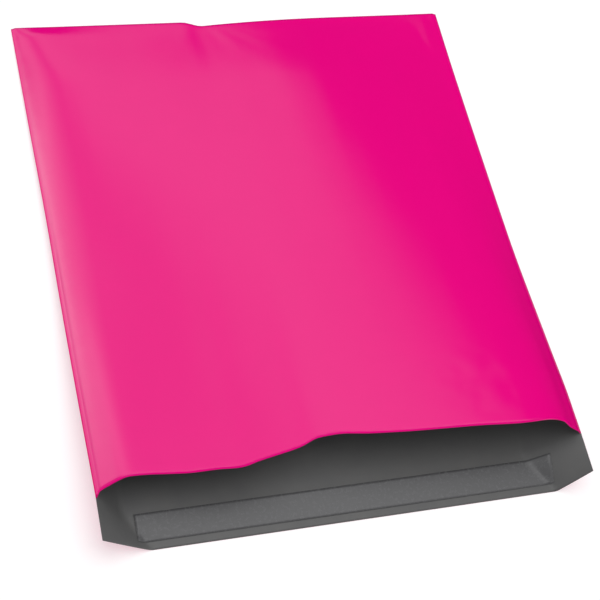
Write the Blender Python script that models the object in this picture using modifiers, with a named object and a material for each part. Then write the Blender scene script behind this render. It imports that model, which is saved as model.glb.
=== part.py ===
"""A poly mailing bag, lying on its back panel with its mouth a little open.

One web of polyethylene film is folded at the closed end and welded to itself down both sides. The
back panel runs on past the mouth as the closing lip, which carries a stripe of adhesive under a
release liner.

Frame: X across the bag, -Y out of the mouth, +Y to the fold, +Z up, in metres. The origin is under
the middle of the bag, on the surface it lies on.
"""

import math

import bmesh
import bpy

# Driving dimensions of the bag laid flat
BAG_WIDTH = 0.430
BAG_LENGTH = 0.518
LIP = 0.039  # how far the back panel runs past the front one
FILM = 0.00007
WELD = 0.001  # welded margin outside the pocket, on each side
FOLD_RADIUS = 0.0006

# The stripe on the lip, measured from the lip's free edge
ADHESIVE_WIDTH = 0.014
ADHESIVE_THICKNESS = 0.0001
STRIPE_MIDDLE = 0.019
LINER_WIDTH = 0.024
LINER_THICKNESS = 0.00006
STRIPE_FROM, STRIPE_TO = 0.075, 0.94  # fractions of the width
GAP = 0.0003

# Lines across the bag
LIP_EDGE_Y = -BAG_LENGTH / 2
MOUTH_Y = LIP_EDGE_Y + LIP
FOLD_Y = BAG_LENGTH / 2
POCKET = FOLD_Y - MOUTH_Y

# How the bag lies. A depth of 0 is the mouth and 1 the fold; heights are in metres.
LEFT, RIGHT = -1, 1
EDGE_HALF_WIDTH = {
    LEFT: ((0.0, 0.2098), (0.25, 0.2105), (0.5, 0.2108), (0.8, 0.2133), (1.0, BAG_WIDTH / 2)),
    RIGHT: ((0.0, 0.2105), (0.12, 0.2130), (0.5, 0.2138), (0.8, 0.2142), (1.0, BAG_WIDTH / 2)),
}
EDGE_HEIGHT = {
    LEFT: ((0.0, 0.0300), (0.2, 0.0190), (0.45, 0.0080), (0.85, 0.0018), (1.0, FOLD_RADIUS)),
    RIGHT: ((0.0, 0.0300), (0.2, 0.0180), (0.45, 0.0070), (0.85, 0.0015), (1.0, FOLD_RADIUS)),
}
# How far in from each side edge the back panel starts to rise to it, along the bag
CURL_WIDTH = {
    LEFT: ((LIP_EDGE_Y, 0.041), (MOUTH_Y, 0.022), (-0.17, 0.034), (-0.08, 0.048), (FOLD_Y, 0.048)),
    RIGHT: ((LIP_EDGE_Y, 0.0235), (MOUTH_Y, 0.0455), (-0.08, 0.048), (FOLD_Y, 0.048)),
}
# 1 is a straight rise from a sharp crease, and more is a rounder one
CURL_POWER = ((LIP_EDGE_Y, 1.05), (MOUTH_Y, 1.15), (-0.10, 1.8), (FOLD_Y, 1.8))
LIP_CORNER_RETREAT = 0.0042  # how far the raised corners of the lip draw back

# Height of the front panel at fractions of the width from the left edge, on lines across the bag
MOUTH_SECTION = (
    (0.0, 0.0300), (0.023, 0.0368), (0.038, 0.0408), (0.046, 0.0426), (0.056, 0.0438),
    (0.07, 0.0446), (0.10, 0.0455), (0.14, 0.0464), (0.20, 0.0480), (0.31, 0.0515),
    (0.42, 0.0548), (0.50, 0.0569), (0.56, 0.0581), (0.63, 0.0589), (0.70, 0.0594),
    (0.78, 0.0598), (0.85, 0.0600), (0.89, 0.0592), (0.92, 0.0556), (0.95, 0.0486),
    (0.975, 0.0393), (1.0, 0.0300),
)
MIDDLE_SECTION = (
    (0.0, 0.0090), (0.008, 0.0122), (0.0155, 0.0148), (0.024, 0.0170), (0.033, 0.0185),
    (0.048, 0.0200), (0.068, 0.0212), (0.09, 0.0220), (0.14, 0.0238), (0.25, 0.0275),
    (0.35, 0.0303), (0.45, 0.0328), (0.55, 0.0345), (0.62, 0.0351), (0.70, 0.0353),
    (0.78, 0.0350), (0.85, 0.0336), (0.90, 0.0288), (0.95, 0.0200), (1.0, 0.0080),
)
FAR_SECTION = (
    (0.0, 0.0018), (0.010, 0.0050), (0.019, 0.0073), (0.030, 0.0093), (0.043, 0.0109),
    (0.060, 0.0121), (0.081, 0.0128), (0.116, 0.0131), (0.16, 0.0128), (0.25, 0.0120),
    (0.40, 0.0112), (0.50, 0.0122), (0.59, 0.0135), (0.64, 0.0137), (0.70, 0.0129),
    (0.77, 0.0106), (0.86, 0.0074), (0.94, 0.0038), (1.0, 0.0015),
)
NEAR_FOLD_SECTION = (
    (0.0, 0.0009), (0.010, 0.0028), (0.019, 0.0040), (0.030, 0.0049), (0.043, 0.0055),
    (0.060, 0.0057), (0.081, 0.0055), (0.116, 0.0049), (0.16, 0.0043), (0.25, 0.0035),
    (0.40, 0.0030), (0.50, 0.0033), (0.59, 0.0037), (0.64, 0.0037), (0.70, 0.0034),
    (0.77, 0.0028), (0.86, 0.0021), (0.94, 0.0014), (1.0, 0.0009),
)
SECTION_DEPTHS = (0.0, 0.42, 0.84, 0.97, 1.0)

# How far the rising front panel draws its mouth edge back, at fractions of the width
MOUTH_RETREAT = (
    (0.0, 0.0003), (0.010, 0.0040), (0.023, 0.0054), (0.045, 0.0075), (0.060, 0.0086),
    (0.09, 0.0080), (0.133, 0.0059), (0.18, 0.0039), (0.225, 0.0034), (0.270, 0.0020),
    (0.31, 0.0052), (0.362, 0.0088), (0.39, 0.0112), (0.43, 0.0168), (0.465, 0.0173),
    (0.53, 0.0139), (0.62, 0.0108), (0.75, 0.0081), (0.86, 0.0052), (0.92, 0.0061),
    (0.945, 0.0054), (0.962, 0.0016), (1.0, 0.0003),
)
RETREAT_POWER = 1.6

# The fold is pinched in at one place, steeply on its left and ever more gently on its right
PINCH_AT, PINCH_DEPTH = 0.425, 0.0052
PINCH_LEFT, PINCH_RIGHT, PINCH_REACH = 0.045, 0.33, 0.085
PINCH_POWER = 2.2

# Where the sheets have their lines of vertices
ACROSS = (
    0.010, 0.022, 0.045, 0.075, 0.11, 0.16, 0.22, 0.275, 0.32, 0.355, 0.385, 0.41, 0.425, 0.445, 0.48,
    0.53, 0.59, 0.65, 0.71, 0.77, 0.82, 0.87, 0.91, 0.94, 0.962, 0.98, 0.99,
)
POCKET_DEPTHS = (
    0.0, 0.03, 0.075, 0.13, 0.20, 0.27, 0.345, 0.42, 0.50, 0.58, 0.66, 0.74, 0.80, 0.85, 0.90,
    0.94, 0.97, 0.985, 1.0,
)
STRIPE_Y = LIP_EDGE_Y + STRIPE_MIDDLE
STRIPE_LINES = (
    STRIPE_Y - LINER_WIDTH / 2, STRIPE_Y - ADHESIVE_WIDTH / 2,
    STRIPE_Y + ADHESIVE_WIDTH / 2, STRIPE_Y + LINER_WIDTH / 2,
)
FOLD_STEPS = 4

PINK = (0.80, 0.004, 0.22, 1.0)
ADHESIVE_COLOUR = (0.62, 0.60, 0.52, 1.0)
LINER_COLOUR = (0.55, 0.56, 0.58, 1.0)


def clear_scene():
    for obj in list(bpy.data.objects):
        bpy.data.objects.remove(obj, do_unlink=True)


def material(name, colour, roughness):
    mat = bpy.data.materials.new(name)
    mat.use_nodes = True
    shader = mat.node_tree.nodes["Principled BSDF"]
    shader.inputs["Base Color"].default_value = colour
    shader.inputs["Roughness"].default_value = roughness
    shader.inputs["Metallic"].default_value = 0.0
    mat.diffuse_color = colour
    return mat


def smooth(low, high, value):
    t = min(1.0, max(0.0, (value - low) / (high - low)))
    return t * t * (3.0 - 2.0 * t)


def through(knots, at):
    """A smooth curve through (position, value) knots that never overshoots them."""
    if at <= knots[0][0]:
        return knots[0][1]
    if at >= knots[-1][0]:
        return knots[-1][1]
    runs = [b[0] - a[0] for a, b in zip(knots, knots[1:])]
    slopes = [(b[1] - a[1]) / run for a, b, run in zip(knots, knots[1:], runs)]
    i = next(k for k, knot in enumerate(knots[1:]) if at <= knot[0])

    def tangent(k):
        if k in (0, len(slopes)):
            return slopes[min(k, len(slopes) - 1)]
        before, after = slopes[k - 1], slopes[k]
        if before * after <= 0.0:
            return 0.0
        weight = runs[k - 1] / (runs[k - 1] + runs[k])
        return before * after / (weight * after + (1.0 - weight) * before)

    t, run = (at - knots[i][0]) / runs[i], runs[i]
    low, high = knots[i][1], knots[i + 1][1]
    return (
        low * (1 + 2 * t) * (1 - t) ** 2
        + tangent(i) * run * t * (1 - t) ** 2
        + high * t * t * (3 - 2 * t)
        + tangent(i + 1) * run * t * t * (t - 1)
    )


def depth_at(y):
    return max(0.0, (y - MOUTH_Y) / POCKET)


def edge_x(side, y):
    return side * through(EDGE_HALF_WIDTH[side], depth_at(y))


def x_at(across, y):
    left, right = edge_x(LEFT, y), edge_x(RIGHT, y)
    return left + across * (right - left)


def climb(x, y):
    """0 where the back panel lies flat, rising to 1 at the side edge."""
    side = LEFT if x < 0 else RIGHT
    width = through(CURL_WIDTH[side], y)
    return max(0.0, 1.0 - (abs(edge_x(side, y)) - abs(x)) / width) ** through(CURL_POWER, y)


def back_height(x, y):
    """Middle of the back film: flat on the table, curling up to each side edge."""
    edge_height = through(EDGE_HEIGHT[LEFT if x < 0 else RIGHT], depth_at(y))
    return FILM / 2 + (edge_height - FILM / 2) * climb(x, y)


def front_height(across, y):
    """Middle of the front film, between the four sections and the flat fold."""
    fold = back_height(x_at(across, FOLD_Y), FOLD_Y) + 2 * FOLD_RADIUS
    sections = (
        through(MOUTH_SECTION, across),
        through(MIDDLE_SECTION, across),
        through(FAR_SECTION, across),
        through(NEAR_FOLD_SECTION, across),
        fold,
    )
    return through(tuple(zip(SECTION_DEPTHS, sections)), depth_at(y))


def pinch(across, y):
    """How far the film is drawn towards the mouth by the pinch in the fold."""
    away = across - PINCH_AT
    if away < 0:
        share = 1.0 - smooth(0.0, PINCH_LEFT, -away)
    else:
        share = max(0.0, 1.0 - away / PINCH_RIGHT) ** PINCH_POWER
    return PINCH_DEPTH * share * smooth(FOLD_Y - PINCH_REACH, FOLD_Y, y)


def columns():
    weld = WELD / BAG_WIDTH
    return (0.0, weld, *ACROSS, 1.0 - weld, 1.0)


def back_point(across, y):
    x = x_at(across, y)
    on_lip = 1.0 - smooth(LIP_EDGE_Y, MOUTH_Y, y)
    return x, y + LIP_CORNER_RETREAT * on_lip * climb(x, y) - pinch(across, y), back_height(x, y)


def front_point(across, y):
    """On the welds the front film is the back film; between them it is clear of it."""
    x, moved, back = back_point(across, y)
    weld = columns()[1]
    if across <= weld or across >= 1.0 - weld:
        return x, moved, back
    clear = 2.0 * FOLD_RADIUS * smooth(0.0, 0.04, min(across, 1.0 - across))
    drawn_back = through(MOUTH_RETREAT, across) * (1.0 - depth_at(y)) ** RETREAT_POWER
    return x, moved + drawn_back, max(front_height(across, y), back + clear)


def fold_row(step):
    """One line of the fold's round, from the front film over to the back film."""
    angle = math.pi * step / FOLD_STEPS
    for across in columns()[1:-1]:
        top = front_point(across, FOLD_Y - FOLD_RADIUS)
        low = back_point(across, FOLD_Y - FOLD_RADIUS)
        middle, radius = (top[2] + low[2]) / 2, (top[2] - low[2]) / 2
        yield top[0], top[1] + radius * math.sin(angle), middle + radius * math.cos(angle)


def add_rows(bm, rows):
    """A sheet between rows of points, with a quad between each pair of neighbours."""
    lines = [[bm.verts.new(point) for point in row] for row in rows]
    for near, far in zip(lines, lines[1:]):
        for i in range(len(near) - 1):
            bm.faces.new((near[i], near[i + 1], far[i + 1], far[i]))


def film_surface(bm):
    """The web's middle surface: back panel with its lip, then the fold and the front panel."""
    last = FOLD_Y - FOLD_RADIUS
    pocket = [MOUTH_Y + depth * (last - MOUTH_Y) for depth in POCKET_DEPTHS]
    lip = (LIP_EDGE_Y, *STRIPE_LINES)
    across = columns()
    add_rows(bm, [[back_point(u, y) for u in across] for y in (*lip, *pocket)])
    front = [[front_point(u, y) for u in across[1:-1]] for y in pocket]
    round_end = [list(fold_row(step)) for step in range(1, FOLD_STEPS)]
    back_line = [back_point(u, last) for u in across[1:-1]]
    add_rows(bm, [*front, *round_end, back_line])
    # The side welds and the fold's ends are where the two sheets share points
    bmesh.ops.remove_doubles(bm, verts=bm.verts, dist=0.000001)
    bmesh.ops.dissolve_degenerate(bm, edges=bm.edges, dist=0.000001)


def stripe_surface(bm, width, height):
    """A strip along the lip, on the film's own lines and this high above it."""
    across = [u for u in ACROSS if STRIPE_FROM <= u <= STRIPE_TO]
    rows = []
    for y in [line for line in STRIPE_LINES if abs(line - STRIPE_Y) <= width / 2 + 0.00001]:
        points = [back_point(u, y) for u in across]
        rows.append([(x, at, z + FILM / 2 + height) for x, at, z in points])
    add_rows(bm, rows)


def sheet(name, collection, fill, thickness, mat):
    """Adds an object whose open surface, made by fill, has a modifier that gives it this
    thickness, and returns the modifier."""
    bm = bmesh.new()
    fill(bm)
    mesh = bpy.data.meshes.new(name)
    bm.to_mesh(mesh)
    bm.free()
    mesh.materials.append(mat)
    obj = bpy.data.objects.new(name, mesh)
    collection.objects.link(obj)
    solidify = obj.modifiers.new("thickness", "SOLIDIFY")
    solidify.thickness = thickness
    solidify.offset = 0.0
    return solidify


def main():
    clear_scene()
    bag = bpy.data.collections.new("poly_mailer_bag")
    bpy.context.scene.collection.children.link(bag)

    thickness = sheet(
        "mailer_film", bag, film_surface, FILM, material("film_pink", PINK, 0.35)
    )
    thickness.solidify_mode = "NON_MANIFOLD"
    thickness.nonmanifold_thickness_mode = "CONSTRAINTS"
    thickness.nonmanifold_boundary_mode = "NONE"
    thickness.nonmanifold_merge_threshold = 0.000001

    adhesive_at = GAP + ADHESIVE_THICKNESS / 2
    liner_at = adhesive_at + ADHESIVE_THICKNESS / 2 + GAP + LINER_THICKNESS / 2
    sheet(
        "adhesive_strip", bag,
        lambda bm: stripe_surface(bm, ADHESIVE_WIDTH, adhesive_at),
        ADHESIVE_THICKNESS, material("adhesive", ADHESIVE_COLOUR, 0.25),
    )
    sheet(
        "release_liner", bag,
        lambda bm: stripe_surface(bm, LINER_WIDTH, liner_at),
        LINER_THICKNESS, material("liner", LINER_COLOUR, 0.15),
    )


main()
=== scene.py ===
import math

import bpy
import numpy as np
from mathutils import Matrix, Vector, noise


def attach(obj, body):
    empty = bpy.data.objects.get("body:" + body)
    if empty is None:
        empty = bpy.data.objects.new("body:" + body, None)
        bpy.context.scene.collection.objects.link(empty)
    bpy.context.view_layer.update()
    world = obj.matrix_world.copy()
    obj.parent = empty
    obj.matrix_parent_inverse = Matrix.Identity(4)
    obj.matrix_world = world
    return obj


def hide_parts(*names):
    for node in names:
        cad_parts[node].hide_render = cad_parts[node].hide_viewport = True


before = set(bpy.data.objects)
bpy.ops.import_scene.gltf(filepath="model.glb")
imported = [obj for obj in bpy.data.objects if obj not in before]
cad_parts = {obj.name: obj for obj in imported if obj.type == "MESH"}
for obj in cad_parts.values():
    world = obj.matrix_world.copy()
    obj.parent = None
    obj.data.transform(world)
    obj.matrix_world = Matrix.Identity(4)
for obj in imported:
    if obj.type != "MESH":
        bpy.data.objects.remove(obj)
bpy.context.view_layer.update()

# ---------------------------------------------------------------------------
# The bag, in metres, as the CAD has it: X across, +Y to the fold, +Z up
# ---------------------------------------------------------------------------
BAG_WIDTH = 0.430
BAG_LENGTH = 0.518
LIP = 0.039
FILM = 0.00007
WELD = 0.001
FOLD_RADIUS = 0.0006
LIP_EDGE_Y = -BAG_LENGTH / 2
MOUTH_Y = LIP_EDGE_Y + LIP
FOLD_Y = BAG_LENGTH / 2
POCKET = FOLD_Y - MOUTH_Y

ADHESIVE_WIDTH, ADHESIVE_THICKNESS = 0.014, 0.0001
LINER_WIDTH, LINER_THICKNESS = 0.024, 0.00006
STRIPE_MIDDLE = 0.019  # from the lip's free edge
STRIPE_FROM, STRIPE_TO = 0.075, 0.94  # fractions of the width
GAP = 0.0003

# Position and value pairs of smooth curves. A depth of 0 is the mouth and 1 the fold.
LEFT_EDGE_X = ((0.0, -0.2098), (0.25, -0.2105), (0.5, -0.2108), (0.8, -0.2133), (1.0, -0.2150))
RIGHT_EDGE_X = ((0.0, 0.2105), (0.12, 0.2130), (0.5, 0.2138), (0.8, 0.2142), (1.0, 0.2150))
LEFT_EDGE_Z = ((0.0, 0.0300), (0.2, 0.0190), (0.45, 0.0080), (0.85, 0.0018), (1.0, FOLD_RADIUS))
RIGHT_EDGE_Z = ((0.0, 0.0300), (0.2, 0.0180), (0.45, 0.0070), (0.85, 0.0015), (1.0, FOLD_RADIUS))
# How far in from each side edge the back panel starts to rise to it, along the bag
LEFT_CURL = ((LIP_EDGE_Y, 0.041), (MOUTH_Y, 0.022), (-0.17, 0.034), (-0.08, 0.048), (FOLD_Y, 0.048))
RIGHT_CURL = ((LIP_EDGE_Y, 0.0235), (MOUTH_Y, 0.0455), (-0.08, 0.048), (FOLD_Y, 0.048))
# 1 is a straight rise from a sharp crease, and more is a rounder one
CURL_POWER = ((LIP_EDGE_Y, 1.05), (MOUTH_Y, 1.15), (-0.10, 1.8), (FOLD_Y, 1.8))
LIP_CORNER_RETREAT = 0.0042

# Height of the front panel at fractions of the width from the left edge, on lines across the bag
MOUTH_SECTION = (
    (0.0, 0.0300), (0.023, 0.0368), (0.038, 0.0408), (0.046, 0.0426), (0.056, 0.0438),
    (0.07, 0.0446), (0.10, 0.0455), (0.14, 0.0464), (0.20, 0.0480), (0.31, 0.0515),
    (0.42, 0.0548), (0.50, 0.0569), (0.56, 0.0581), (0.63, 0.0589), (0.70, 0.0594),
    (0.78, 0.0598), (0.85, 0.0600), (0.89, 0.0592), (0.92, 0.0556), (0.95, 0.0486),
    (0.975, 0.0393), (1.0, 0.0300),
)
MIDDLE_SECTION = (
    (0.0, 0.0090), (0.008, 0.0122), (0.0155, 0.0148), (0.024, 0.0170), (0.033, 0.0185),
    (0.048, 0.0200), (0.068, 0.0212), (0.09, 0.0220), (0.14, 0.0238), (0.25, 0.0275),
    (0.35, 0.0303), (0.45, 0.0328), (0.55, 0.0345), (0.62, 0.0351), (0.70, 0.0353),
    (0.78, 0.0350), (0.85, 0.0336), (0.90, 0.0288), (0.95, 0.0200), (1.0, 0.0080),
)
FAR_SECTION = (
    (0.0, 0.0018), (0.010, 0.0050), (0.019, 0.0073), (0.030, 0.0093), (0.043, 0.0109),
    (0.060, 0.0121), (0.081, 0.0128), (0.116, 0.0131), (0.16, 0.0128), (0.25, 0.0120),
    (0.40, 0.0112), (0.50, 0.0122), (0.59, 0.0135), (0.64, 0.0137), (0.70, 0.0129),
    (0.77, 0.0106), (0.86, 0.0074), (0.94, 0.0038), (1.0, 0.0015),
)
NEAR_FOLD_SECTION = (
    (0.0, 0.0009), (0.010, 0.0028), (0.019, 0.0040), (0.030, 0.0049), (0.043, 0.0055),
    (0.060, 0.0057), (0.081, 0.0055), (0.116, 0.0049), (0.16, 0.0043), (0.25, 0.0035),
    (0.40, 0.0030), (0.50, 0.0033), (0.59, 0.0037), (0.64, 0.0037), (0.70, 0.0034),
    (0.77, 0.0028), (0.86, 0.0021), (0.94, 0.0014), (1.0, 0.0009),
)
SECTION_DEPTHS = (0.0, 0.42, 0.84, 0.97, 1.0)

# How far the rising front panel draws its mouth edge back, at fractions of the width
MOUTH_RETREAT = (
    (0.0, 0.0003), (0.010, 0.0040), (0.023, 0.0054), (0.045, 0.0075), (0.060, 0.0086),
    (0.09, 0.0080), (0.133, 0.0059), (0.18, 0.0039), (0.225, 0.0034), (0.270, 0.0020),
    (0.31, 0.0052), (0.362, 0.0088), (0.39, 0.0112), (0.43, 0.0168), (0.465, 0.0173),
    (0.53, 0.0139), (0.62, 0.0108), (0.75, 0.0081), (0.86, 0.0052), (0.92, 0.0061),
    (0.945, 0.0054), (0.962, 0.0016), (1.0, 0.0003),
)
RETREAT_POWER = 1.6

# The fold is pinched in at one place, steeply on its left and ever more gently on its right
PINCH_AT, PINCH_DEPTH = 0.425, 0.0052
PINCH_LEFT, PINCH_RIGHT, PINCH_REACH, PINCH_POWER = 0.045, 0.33, 0.085, 2.2

# Heights of the film's small unevenness
UNDULATION, PUCKERS, PINCH_WRINKLES, CRUMPLE = 0.00022, 0.00022, 0.00012, 0.0008
CRUMPLE_X, CRUMPLE_Y = 0.345, -0.182  # from the film's left edge, and along the bag

# Fineness of the visible sheets, and how much closer their lines are at the edges
COLUMNS, POCKET_ROWS, LIP_ROWS, FOLD_ROWS = 124, 118, 18, 5
STRIPE_COLUMNS, STRIPE_ROWS = 140, 13
SIDE_CROWDING, END_CROWDING = 0.22, 0.12

# Looks, as linear colours
PINK, PINK_DEEP = (0.800, 0.0002, 0.210, 1.0), (0.680, 0.0002, 0.185, 1.0)
# Painted shade: the darker pink along the right cut edge and the fold, also used faintly along both welds
PINK_EDGE_SHADE_AND_WELD = (0.33, 0.004, 0.12, 1.0)
INSIDE_GREY, INSIDE_GREY_PALE = (0.104, 0.104, 0.105, 1.0), (0.117, 0.116, 0.115, 1.0)
ADHESIVE_CLEAR, ADHESIVE_MILKY = (0.34, 0.33, 0.29, 1.0), (0.42, 0.41, 0.36, 1.0)
LINER_CLEAR, LINER_SCUFFED = (0.100, 0.100, 0.103, 1.0), (0.116, 0.116, 0.120, 1.0)
FLOOR_PALE, FLOOR_CLOUD = (0.60, 0.60, 0.60, 1.0), (0.57, 0.57, 0.57, 1.0)


# ---------------------------------------------------------------------------
# Shape
# ---------------------------------------------------------------------------
def smooth(low, high, value):
    t = np.clip((value - low) / (high - low), 0.0, 1.0)
    return t * t * (3.0 - 2.0 * t)


def tangents(at, value):
    """Slopes at the knots that keep the curve from overshooting, along the first axis."""
    run = np.diff(at)
    slope = np.diff(value, axis=0) / run.reshape(-1, *[1] * (value.ndim - 1))
    before, after = slope[:-1], slope[1:]
    weight = (run[:-1] / (run[:-1] + run[1:])).reshape(-1, *[1] * (value.ndim - 1))
    mixed = weight * after + (1.0 - weight) * before
    same = before * after > 0.0
    inner = np.where(same, before * after / np.where(same, mixed, 1.0), 0.0)
    return np.concatenate([slope[:1], inner, slope[-1:]])


def hermite(t, run, low, high, start, end):
    return (
        low * (1 + 2 * t) * (1 - t) ** 2
        + start * run * t * (1 - t) ** 2
        + high * t * t * (3 - 2 * t)
        + end * run * t * t * (t - 1)
    )


def through(knots, at):
    """A smooth curve through (position, value) knots, read at an array of positions."""
    where, value = (np.array(column) for column in zip(*knots))
    slope = tangents(where, value)
    at = np.clip(at, where[0], where[-1])
    i = np.clip(np.searchsorted(where, at) - 1, 0, len(where) - 2)
    run = where[i + 1] - where[i]
    t = (at - where[i]) / run
    return hermite(t, run, value[i], value[i + 1], slope[i], slope[i + 1])


def between_sections(sections, depth):
    """Values between whole sections, at a depth for each point."""
    where, value = np.array(SECTION_DEPTHS), np.stack(sections)
    slope = tangents(where, value)
    i = np.clip(np.searchsorted(where, depth) - 1, 0, len(where) - 2)
    run = where[i + 1] - where[i]
    t = (depth - where[i]) / run
    pick = tuple(np.indices(depth.shape))
    return hermite(
        t, run, value[(i, *pick)], value[(i + 1, *pick)], slope[(i, *pick)], slope[(i + 1, *pick)]
    )


def depth_at(y):
    return np.clip((y - MOUTH_Y) / POCKET, 0.0, 1.0)


def x_at(across, y):
    left, right = through(LEFT_EDGE_X, depth_at(y)), through(RIGHT_EDGE_X, depth_at(y))
    return left + across * (right - left)


def climb(x, y):
    """0 where the back panel lies flat, rising to 1 at the side edge."""
    edge = np.where(x < 0, -through(LEFT_EDGE_X, depth_at(y)), through(RIGHT_EDGE_X, depth_at(y)))
    width = np.where(x < 0, through(LEFT_CURL, y), through(RIGHT_CURL, y))
    return np.clip(1.0 - (edge - np.abs(x)) / width, 0.0, None) ** through(CURL_POWER, y)


def back_height(x, y):
    edge = np.where(x < 0, through(LEFT_EDGE_Z, depth_at(y)), through(RIGHT_EDGE_Z, depth_at(y)))
    return FILM / 2 + (edge - FILM / 2) * climb(x, y)


def front_height(across, y):
    fold = back_height(x_at(across, np.full_like(y, FOLD_Y)), np.full_like(y, FOLD_Y))
    tables = (MOUTH_SECTION, MIDDLE_SECTION, FAR_SECTION, NEAR_FOLD_SECTION)
    sections = [through(knots, across) for knots in tables]
    return between_sections([*sections, fold + 2 * FOLD_RADIUS], depth_at(y))


def pinch(across, y):
    """How far the film is drawn towards the mouth by the pinch in the fold."""
    away = across - PINCH_AT
    left = 1.0 - smooth(0.0, PINCH_LEFT, -away)
    right = np.clip(1.0 - away / PINCH_RIGHT, 0.0, 1.0) ** PINCH_POWER
    share = np.where(away < 0, left, right)
    return PINCH_DEPTH * share * smooth(FOLD_Y - PINCH_REACH, FOLD_Y, y)


def noise_field(x, y, scale, seed):
    """Smooth noise over flat points, about -1 to 1, with this size of detail in metres."""
    return np.array([
        noise.noise(Vector((a / scale, b / scale, seed))) for a, b in zip(x.ravel(), y.ravel())
    ]).reshape(x.shape)


def undulation(x, y, side, from_fold):
    """Broad soft waves, held flat by the welds and the fold."""
    held = smooth(0.0, 0.03, side) * smooth(0.0, 0.04, from_fold)
    return UNDULATION * held * noise_field(x, y, 0.080, 3.0)


def weld_puckers(x, y, side, from_fold):
    """Short puckers that run in from the side welds and die out."""
    near_weld = smooth(0.001, 0.004, side) * np.exp(-side / 0.009) * smooth(0.004, 0.02, from_fold)
    return PUCKERS * near_weld * noise_field(x * 0.3, y, 0.012, 11.0)


def pinch_wrinkles(x, from_fold):
    """Wrinkles that fan out from the pinch in the fold."""
    over, out = x - PINCH_AT * BAG_WIDTH, from_fold + 0.012
    fan = smooth(0.002, 0.014, from_fold) * np.exp(-from_fold / 0.035) * np.exp(-((over / out) ** 2) / 2)
    return PINCH_WRINKLES * fan * np.cos(9.0 * over / out)


def crumple(x, y):
    """One crumpled patch by the mouth."""
    reach = ((x - CRUMPLE_X) / 0.034) ** 2 + ((y - CRUMPLE_Y) / 0.026) ** 2
    folds = np.abs(noise_field(x + 0.6 * y, 1.6 * (y - 0.5 * x), 0.036, 7.0)) - 0.25
    return CRUMPLE * folds * np.exp(-reach)


def unevenness(across, y):
    """Small rises and dips of the front film."""
    x = across * BAG_WIDTH
    side, from_fold = np.minimum(x, BAG_WIDTH - x), FOLD_Y - y
    waves, puckers = undulation(x, y, side, from_fold), weld_puckers(x, y, side, from_fold)
    return waves + puckers + pinch_wrinkles(x, from_fold) + crumple(x, y)


def back_points(across, y):
    x = x_at(across, y)
    rise = climb(x, y)
    on_lip = 1.0 - smooth(LIP_EDGE_Y, MOUTH_Y, y)
    moved = y + LIP_CORNER_RETREAT * on_lip * rise - pinch(across, y)
    return np.stack([x, moved, back_height(x, y)], axis=-1)


def front_points(across, y):
    """The front film lies on the back film along the welds, and is clear of it between them."""
    points = back_points(across, y)
    back = points[..., 2]
    side = np.minimum(across, 1.0 - across)
    weld = WELD / BAG_WIDTH
    clear = 2.0 * FOLD_RADIUS * smooth(weld, 0.04, side) + FILM * 1.1
    height = np.maximum(front_height(across, y) + unevenness(across, y), back + clear)
    points[..., 2] = np.where(side <= weld, back + FILM * 1.1, height)
    drawn_back = through(MOUTH_RETREAT, across) * (1.0 - depth_at(y)) ** RETREAT_POWER
    points[..., 1] += np.where(side <= weld, 0.0, drawn_back)
    return points


def crowded(count, crowding):
    """This many values from 0 to 1, closer together towards both ends."""
    even = np.linspace(0.0, 1.0, count)
    return even - crowding * np.sin(2 * math.pi * even) / (2 * math.pi)


def column_fractions():
    """Fractions across the width: on the weld's edges, and closer together near the sides."""
    weld = WELD / BAG_WIDTH
    inner = weld + (1.0 - 2.0 * weld) * crowded(COLUMNS, SIDE_CROWDING)
    on_weld = weld * np.array([0.0, 0.35, 0.7])
    return np.concatenate([on_weld, inner, 1.0 - on_weld[::-1]])


def film_grid():
    """The web's middle surface, row by row from the lip over the fold to the mouth: its points, and
    where each lies on the flat film, across and along it."""
    across = column_fractions()
    last = FOLD_Y - FOLD_RADIUS
    pocket = MOUTH_Y + (last - MOUTH_Y) * crowded(POCKET_ROWS, END_CROWDING)
    lip = np.linspace(LIP_EDGE_Y, MOUTH_Y, LIP_ROWS, endpoint=False)
    back_u, back_y = np.meshgrid(across, np.concatenate([lip, pocket]))
    front_u, front_y = np.meshgrid(across, pocket[::-1])
    back, front = back_points(back_u, back_y), front_points(front_u, front_y)
    rounds = []
    middle = (back[-1] + front[0]) / 2
    radius = (front[0, :, 2] - back[-1, :, 2]) / 2
    for step in range(1, FOLD_ROWS):
        angle = math.pi * step / FOLD_ROWS
        row = middle.copy()
        row[:, 1] += radius * math.sin(angle)
        row[:, 2] -= radius * math.cos(angle)
        rounds.append(row)
    points = np.concatenate([back, np.array(rounds), front])
    flat_back = back_y - LIP_EDGE_Y
    fold_at = FOLD_Y - LIP_EDGE_Y
    flat_fold = np.full((FOLD_ROWS - 1, len(across)), fold_at)
    flat_front = fold_at + (FOLD_Y - front_y)
    along = np.concatenate([flat_back, flat_fold, flat_front])
    wide = np.tile(across * BAG_WIDTH, (len(along), 1))
    return points, wide, along


# ---------------------------------------------------------------------------
# Meshes
# ---------------------------------------------------------------------------
def grid_mesh(name, points, wide, along):
    """A sheet of quads over a grid of points, with its flat place in metres as its UV map."""
    rows, cols = points.shape[:2]
    index = np.arange(rows * cols).reshape(rows, cols)
    quads = np.stack(
        [index[:-1, :-1], index[1:, :-1], index[1:, 1:], index[:-1, 1:]], axis=-1
    ).reshape(-1, 4)
    mesh = bpy.data.meshes.new(name)
    mesh.from_pydata(points.reshape(-1, 3).tolist(), [], quads.tolist())
    flat = np.stack([wide, along], axis=-1).reshape(-1, 2)
    layer = mesh.uv_layers.new(name="Flat")
    layer.data.foreach_set("uv", flat[quads.ravel()].astype(np.float32).ravel())
    mesh.shade_smooth()
    return mesh


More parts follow.
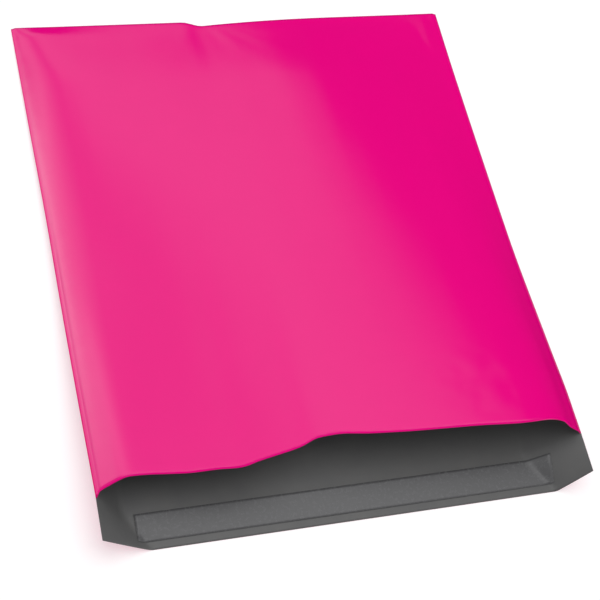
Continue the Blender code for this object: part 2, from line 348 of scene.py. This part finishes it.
def sheet_object(name, mesh, thickness, materials):
    obj = bpy.data.objects.new(name, mesh)
    bpy.context.scene.collection.objects.link(obj)
    for mat in materials:
        mesh.materials.append(mat)
    solidify = obj.modifiers.new("thickness", "SOLIDIFY")
    solidify.thickness = thickness
    solidify.offset = 0.0
    if len(materials) > 1:
        solidify.material_offset = 1
        solidify.material_offset_rim = 1
    return obj


def stripe_points(width, height):
    """A strip along the lip's inner face, this high above it."""
    across = np.linspace(STRIPE_FROM, STRIPE_TO, STRIPE_COLUMNS)
    middle = LIP_EDGE_Y + STRIPE_MIDDLE
    rows = np.linspace(middle + width / 2, middle - width / 2, STRIPE_ROWS)
    u, y = np.meshgrid(across, rows)
    points = back_points(u, y)
    points[..., 2] += FILM / 2 + height
    return points, u * BAG_WIDTH, np.tile((rows[0] - rows)[:, None], (1, len(across)))


# ---------------------------------------------------------------------------
# Materials
# ---------------------------------------------------------------------------
class Nodes:
    """A material's node tree, with short calls to add and join nodes."""

    def __init__(self, name):
        self.material = bpy.data.materials.new(name)
        self.material.use_nodes = True
        self.tree = self.material.node_tree
        self.shader = self.tree.nodes["Principled BSDF"]

    def add(self, kind, values=None, **settings):
        node = self.tree.nodes.new(kind)
        for key, value in settings.items():
            setattr(node, key, value)
        for key, value in (values or {}).items():
            if isinstance(value, bpy.types.NodeSocket):
                self.tree.links.new(value, node.inputs[key])
            else:
                node.inputs[key].default_value = value
        return node

    def flat_place(self):
        """The place on the flat film in metres, from the sheet's UV map."""
        return self.add("ShaderNodeUVMap", uv_map="Flat").outputs["UV"]

    def split(self, vector):
        """A vector's X, Y and Z."""
        return self.add("ShaderNodeSeparateXYZ", {0: vector}).outputs

    def scaled(self, vector, scale):
        return self.add("ShaderNodeVectorMath", {0: vector, 1: scale}, operation="MULTIPLY").outputs[0]

    def noise(self, vector, scale, detail=3.0, roughness=0.5):
        values = {"Vector": vector, "Scale": scale, "Detail": detail, "Roughness": roughness}
        return self.add("ShaderNodeTexNoise", values).outputs["Fac"]

    def ramp(self, value, low, high, to_low, to_high):
        values = {"Value": value, "From Min": low, "From Max": high, "To Min": to_low, "To Max": to_high}
        return self.add("ShaderNodeMapRange", values, clamp=True).outputs["Result"]

    def maths(self, operation, a, b=0.0):
        return self.add("ShaderNodeMath", {0: a, 1: b}, operation=operation).outputs[0]

    def mix(self, share, a, b):
        node = self.add("ShaderNodeMix", {0: share, 6: a, 7: b}, data_type="RGBA")
        return node.outputs[2]

    def bump(self, height, distance, strength=1.0, normal=None):
        values = {"Height": height, "Distance": distance, "Strength": strength}
        if normal is not None:
            values["Normal"] = normal
        return self.add("ShaderNodeBump", values).outputs["Normal"]

    def set(self, **inputs):
        for key, value in inputs.items():
            socket = self.shader.inputs[key.replace("_", " ")]
            if isinstance(value, bpy.types.NodeSocket):
                self.tree.links.new(value, socket)
            else:
                socket.default_value = value


def edge_distance(n, place):
    """How far each point of the flat film is from its nearer side edge, in metres."""
    x = n.split(place)["X"]
    return n.maths("MINIMUM", x, n.maths("SUBTRACT", BAG_WIDTH, x))


def film_streaks(n, place):
    """The fine streaks that run along extruded film."""
    return n.noise(n.scaled(place, (260.0, 2.2, 1.0)), 1.0, 4.0, 0.6)


def film_relief(n, place, streaks, strength):
    """The film's fine grain and its streaks, as bumps."""
    grain = n.bump(n.noise(place, 2600.0, 2.0, 0.6), 0.000012, 0.5)
    return n.bump(streaks, 0.00003, strength, grain)


def shaded_edges_and_welds(n, place):
    """Where the film is darker: painted shade along the right cut edge and along the fold, and faintly
    along both welds.
    """
    side = edge_distance(n, place)
    on_weld = n.ramp(side, WELD * 0.85, WELD * 1.1, 1.0, 0.0)
    # Painted shade along the cut edge on the right side only, the side that slopes away from the light
    right = n.ramp(n.split(place)["X"], 0.30, 0.31, 0.0, 1.0)
    shade_at_right_cut = n.maths("MULTIPLY", right, n.ramp(side, 0.0004, 0.0012, 1.0, 0.0))
    # Painted shade in a narrow band along the fold's crease
    from_fold = n.maths("ABSOLUTE", n.maths("SUBTRACT", n.split(place)["Y"], BAG_LENGTH))
    shade_at_fold = n.ramp(from_fold, 0.0006, 0.0022, 1.0, 0.0)
    return n.maths("MAXIMUM", n.maths("MULTIPLY", on_weld, 0.15), n.maths("MAXIMUM", shade_at_right_cut, shade_at_fold))


def outside_film():
    n = Nodes("film_outside")
    place = n.flat_place()
    streaks = film_streaks(n, place)
    mottle = n.noise(place, 42.0, 4.0, 0.55)
    varied = n.mix(n.ramp(mottle, 0.3, 0.7, 0.0, 0.10), PINK, PINK_DEEP)
    # Painted shade at the right cut edge and the fold, with the faint darkening at the welds, mixed into
    # the pink
    colour = n.mix(n.maths("MULTIPLY", shaded_edges_and_welds(n, place), 0.6), varied, PINK_EDGE_SHADE_AND_WELD)
    uneven = n.maths("ADD", n.maths("MULTIPLY", streaks, 0.6), n.maths("MULTIPLY", mottle, 0.4))
    n.set(Base_Color=colour, Roughness=n.ramp(uneven, 0.3, 0.7, 0.10, 0.13),
          Normal=film_relief(n, place, streaks, 0.5), IOR=1.5, Specular_IOR_Level=0.5)
    return n.material


def inside_film():
    n = Nodes("film_inside")
    place = n.flat_place()
    streaks = film_streaks(n, place)
    mottle = n.noise(place, 38.0, 4.0, 0.6)
    colour = n.mix(n.ramp(mottle, 0.3, 0.7, 0.0, 1.0), INSIDE_GREY, INSIDE_GREY_PALE)
    n.set(Base_Color=colour, Roughness=n.ramp(streaks, 0.3, 0.7, 0.42, 0.50),
          Normal=film_relief(n, place, streaks, 0.6), IOR=1.5, Specular_IOR_Level=0.4)
    return n.material


def adhesive_material():
    n = Nodes("adhesive")
    place = n.flat_place()
    ripple = n.noise(n.scaled(place, (60.0, 420.0, 1.0)), 1.0, 3.0, 0.5)
    cloud = n.noise(place, 120.0, 4.0, 0.6)
    colour = n.mix(n.ramp(cloud, 0.35, 0.65, 0.0, 1.0), ADHESIVE_CLEAR, ADHESIVE_MILKY)
    n.set(Base_Color=colour, Roughness=n.ramp(cloud, 0.3, 0.7, 0.18, 0.32),
          Normal=n.bump(ripple, 0.00003, 0.5), IOR=1.48)
    return n.material


def liner_material():
    """The clear tape, in the colour that it has over the dark film."""
    n = Nodes("liner")
    place = n.flat_place()
    ripple = n.noise(n.scaled(place, (18.0, 90.0, 1.0)), 1.0, 3.0, 0.5)
    scuff = n.noise(place, 300.0, 4.0, 0.6)
    colour = n.mix(n.ramp(scuff, 0.3, 0.7, 0.0, 1.0), LINER_CLEAR, LINER_SCUFFED)
    n.set(Base_Color=colour, Roughness=n.ramp(scuff, 0.3, 0.7, 0.22, 0.30),
          Normal=n.bump(ripple, 0.00005, 0.5), IOR=1.5)
    return n.material


def floor_material():
    n = Nodes("floor")
    cloud = n.noise(n.add("ShaderNodeTexCoord").outputs["Object"], 3.0, 2.0)
    colour = n.mix(n.ramp(cloud, 0.3, 0.7, 0.0, 0.03), FLOOR_PALE, FLOOR_CLOUD)
    n.set(Base_Color=colour, Roughness=0.9, Specular_IOR_Level=0.1, Emission_Color=WHITE,
          Emission_Strength=FLOOR_GLOW)
    return n.material


# ---------------------------------------------------------------------------
# The object
# ---------------------------------------------------------------------------
def add_film():
    mesh = grid_mesh("film_sheet", *film_grid())
    film = sheet_object("film_sheet", mesh, FILM, [outside_film(), inside_film()])
    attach(film, "root")
    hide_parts("mailer_film")
    return film


def add_stripe():
    adhesive_at = GAP + ADHESIVE_THICKNESS / 2
    liner_at = adhesive_at + ADHESIVE_THICKNESS / 2 + GAP + LINER_THICKNESS / 2
    stripe = grid_mesh("adhesive_stripe", *stripe_points(ADHESIVE_WIDTH, adhesive_at))
    adhesive = sheet_object("adhesive_stripe", stripe, ADHESIVE_THICKNESS, [adhesive_material()])
    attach(adhesive, "root")
    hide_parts("adhesive_strip")
    tape = grid_mesh("liner_tape", *stripe_points(LINER_WIDTH, liner_at))
    liner = sheet_object("liner_tape", tape, LINER_THICKNESS, [liner_material()])
    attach(liner, "root")
    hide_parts("release_liner")


# ---------------------------------------------------------------------------
# The studio
# ---------------------------------------------------------------------------
CAMERA_AZIMUTH, CAMERA_ELEVATION, CAMERA_ROLL = -34.17, 59.23, 24.76  # degrees
CAMERA_DISTANCE, CAMERA_LENS = 1.2345, 83.4
CAMERA_AIM = Vector((0.0004, -0.0520, 0.0))
WHITE, BLACK = (1.0, 1.0, 1.0, 1.0), (0.0, 0.0, 0.0, 1.0)
WORLD_STRENGTH = 0.56
OVERHEAD_PLACE, OVERHEAD_SIZE, OVERHEAD_POWER = (0.15, 0.1, 2.0), 2.0, 27.0
FLOOR_HALF, FLOOR_Z, FLOOR_GLOW = 6.0, -0.0004, 0.44


def add_camera():
    azimuth, elevation = math.radians(CAMERA_AZIMUTH), math.radians(CAMERA_ELEVATION)
    forward = Vector((
        -math.sin(azimuth) * math.cos(elevation),
        math.cos(azimuth) * math.cos(elevation),
        -math.sin(elevation),
    ))
    data = bpy.data.cameras.new("camera")
    data.lens, data.sensor_width = CAMERA_LENS, 36.0
    data.clip_start, data.clip_end = 0.05, 50.0
    camera = bpy.data.objects.new("camera", data)
    turn = forward.to_track_quat("-Z", "Y").to_matrix().to_4x4()
    roll = Matrix.Rotation(math.radians(CAMERA_ROLL), 4, "Z")
    place = Matrix.Translation(CAMERA_AIM - forward * CAMERA_DISTANCE)
    camera.matrix_world = place @ turn @ roll
    bpy.context.scene.collection.objects.link(camera)
    bpy.context.scene.camera = camera


# A half pipe of white scrim over the bag, which only the sheen on the film sees. Its brightness
# changes with the angle from straight up, in degrees, negative to the left; it ends at the last.
SCRIM_RADIUS, SCRIM_TURN = 2.0, 10.7
SCRIM_FROM_Y, SCRIM_TO_Y = -0.7, 3.3
SCRIM_BRIGHTNESS = (
    (-90.0, 1.8), (-82.0, 3.0), (-74.0, 4.0), (-60.0, 3.7), (-48.0, 3.15), (-34.0, 2.75),
    (-24.0, 2.3), (-14.0, 1.75), (-6.0, 1.25), (0.0, 0.95), (4.0, 0.72), (8.0, 0.60), (11.0, 0.78),
    (14.0, 0.98), (18.0, 1.06), (22.0, 1.02), (25.0, 0.95), (29.4, 0.82), (32.2, 0.60), (34.6, 0.34),
    (37.2, 0.11), (39.5, 0.0),
)
SCRIM_BRIGHTEST = 4.0
# Its left side, which begins between these angles, keeps this share by the distance along it
SCRIM_LEFT_FROM, SCRIM_LEFT_TO = -8.0, -36.0
SCRIM_LEFT_SHARE = (
    (-0.7, 0.10), (0.7, 0.10), (1.0, 0.36), (1.5, 0.71), (1.8, 0.95), (1.95, 0.95), (2.15, 0.62),
    (2.4, 0.36), (2.7, 0.24), (3.3, 0.15),
)
# A glow low on the right in front of the mouth, which shows in the sheen from behind the bag
GLOW_PLACE, GLOW_WIDTH, GLOW_HEIGHT, GLOW_BRIGHTNESS = (1.75, -1.60, 0.95), 2.4, 1.5, 1.1


def sheen_only(name, mesh):
    """A stage object that shows in reflections and nowhere else."""
    obj = bpy.data.objects.new(name, mesh)
    obj.visible_camera = obj.visible_diffuse = obj.visible_shadow = False
    bpy.context.scene.collection.objects.link(obj)
    return obj


def grey_ramp(n, value, knots, top):
    """Values through (place, value) knots, divided by the top one; the value runs 0 to 1."""
    first, last = knots[0][0], knots[-1][0]
    ramp = n.add("ShaderNodeValToRGB", {0: value})
    spots = ramp.color_ramp.elements
    spots.remove(spots[1])  # the white one that a new ramp ends with
    for k, (place, grey) in enumerate(knots):
        spot = spots[0] if k == 0 else spots.new((place - first) / (last - first))
        spot.color = (*[grey / top] * 3, 1.0)
    return ramp.outputs["Color"]


def scrim_share(degrees):
    """How far round the half pipe an angle is, from 0 to 1."""
    first, last = SCRIM_BRIGHTNESS[0][0], SCRIM_BRIGHTNESS[-1][0]
    return (degrees - first) / (last - first)


def scrim_material():
    n = Nodes("scrim")
    place = n.split(n.add("ShaderNodeUVMap", uv_map="Angle").outputs["UV"])
    colour = grey_ramp(n, place["X"], SCRIM_BRIGHTNESS, SCRIM_BRIGHTEST)
    on_left = n.ramp(place["X"], scrim_share(SCRIM_LEFT_FROM), scrim_share(SCRIM_LEFT_TO), 0.0, 1.0)
    along = n.ramp(place["Y"], SCRIM_FROM_Y, SCRIM_TO_Y, 0.0, 1.0)
    dimmed = n.maths("SUBTRACT", 1.0, grey_ramp(n, along, SCRIM_LEFT_SHARE, 1.0))
    strength = n.maths("SUBTRACT", 1.0, n.maths("MULTIPLY", on_left, dimmed))
    n.set(Base_Color=BLACK, Specular_IOR_Level=0.0, Emission_Color=colour,
          Emission_Strength=n.maths("MULTIPLY", strength, SCRIM_BRIGHTEST))
    return n.material


def add_scrim():
    """The half pipe, closed by a wall at its far end."""
    degrees = np.linspace(SCRIM_BRIGHTNESS[0][0], SCRIM_BRIGHTNESS[-1][0], 60)
    angle, share = np.radians(degrees), scrim_share(degrees)
    x, z = SCRIM_RADIUS * np.sin(angle), SCRIM_RADIUS * np.cos(angle)
    near = np.stack([x, np.full_like(x, SCRIM_FROM_Y), z], axis=-1)
    far = np.stack([x, np.full_like(x, SCRIM_TO_Y), z], axis=-1)
    centre = np.stack([x * 0.0, np.full_like(x, SCRIM_TO_Y), z * 0.0 + 0.01], axis=-1)
    along = np.tile(np.array([[SCRIM_FROM_Y], [SCRIM_TO_Y], [SCRIM_TO_Y]]), (1, len(share)))
    mesh = grid_mesh("scrim", np.stack([near, far, centre]), np.tile(share, (3, 1)), along)
    mesh.uv_layers["Flat"].name = "Angle"
    mesh.materials.append(scrim_material())
    scrim = sheen_only("scrim", mesh)
    scrim.rotation_euler.z = math.radians(SCRIM_TURN)


def glow_material():
    n = Nodes("glow")
    place = n.split(n.flat_place())
    across = n.maths("MINIMUM", *[n.ramp(place["X"], *ends, 0.0, 1.0) for ends in ((0.0, 0.4), (1.0, 0.6))])
    up = n.maths("MINIMUM", *[n.ramp(place["Y"], *ends, 0.0, 1.0) for ends in ((0.0, 0.45), (1.0, 0.55))])
    n.set(Base_Color=BLACK, Specular_IOR_Level=0.0, Emission_Color=WHITE,
          Emission_Strength=n.maths("MULTIPLY", n.maths("MULTIPLY", across, up), GLOW_BRIGHTNESS))
    return n.material


def add_glow():
    """An upright card that faces the bag, bright in its middle and fading to its edges."""
    share = np.linspace(0.0, 1.0, 5)
    across, up = np.meshgrid(share, share)
    x, z = (across - 0.5) * GLOW_WIDTH, (up - 0.5) * GLOW_HEIGHT
    mesh = grid_mesh("glow", np.stack([x, x * 0.0, z], axis=-1), across, up)
    mesh.materials.append(glow_material())
    glow = sheen_only("glow", mesh)
    glow.location = GLOW_PLACE
    glow.rotation_euler.z = math.atan2(GLOW_PLACE[0], -GLOW_PLACE[1])


def add_overhead():
    """The soft light from above, left out of the sheen."""
    data = bpy.data.lights.new("overhead", "AREA")
    data.size, data.energy = OVERHEAD_SIZE, OVERHEAD_POWER
    light = bpy.data.objects.new("overhead", data)
    light.location = OVERHEAD_PLACE
    light.visible_glossy = False
    bpy.context.scene.collection.objects.link(light)


def add_floor():
    mesh = bpy.data.meshes.new("floor")
    corners = [(x * FLOOR_HALF, y * FLOOR_HALF, FLOOR_Z) for x, y in ((-1, -1), (1, -1), (1, 1), (-1, 1))]
    mesh.from_pydata(corners, [], [(0, 1, 2, 3)])
    mesh.materials.append(floor_material())
    floor = bpy.data.objects.new("floor", mesh)
    floor.visible_glossy = False
    bpy.context.scene.collection.objects.link(floor)


def add_world():
    world = bpy.data.worlds.new("studio")
    world.use_nodes = True
    background = world.node_tree.nodes["Background"]
    background.inputs["Color"].default_value = WHITE
    background.inputs["Strength"].default_value = WORLD_STRENGTH
    world.cycles_visibility.glossy = False
    bpy.context.scene.world = world


def add_studio():
    scene = bpy.context.scene
    scene.view_settings.view_transform = "Standard"
    scene.view_settings.look = "None"
    add_floor()
    add_world()
    add_overhead()
    add_scrim()
    add_glow()


add_film()
add_stripe()
add_studio()
add_camera()
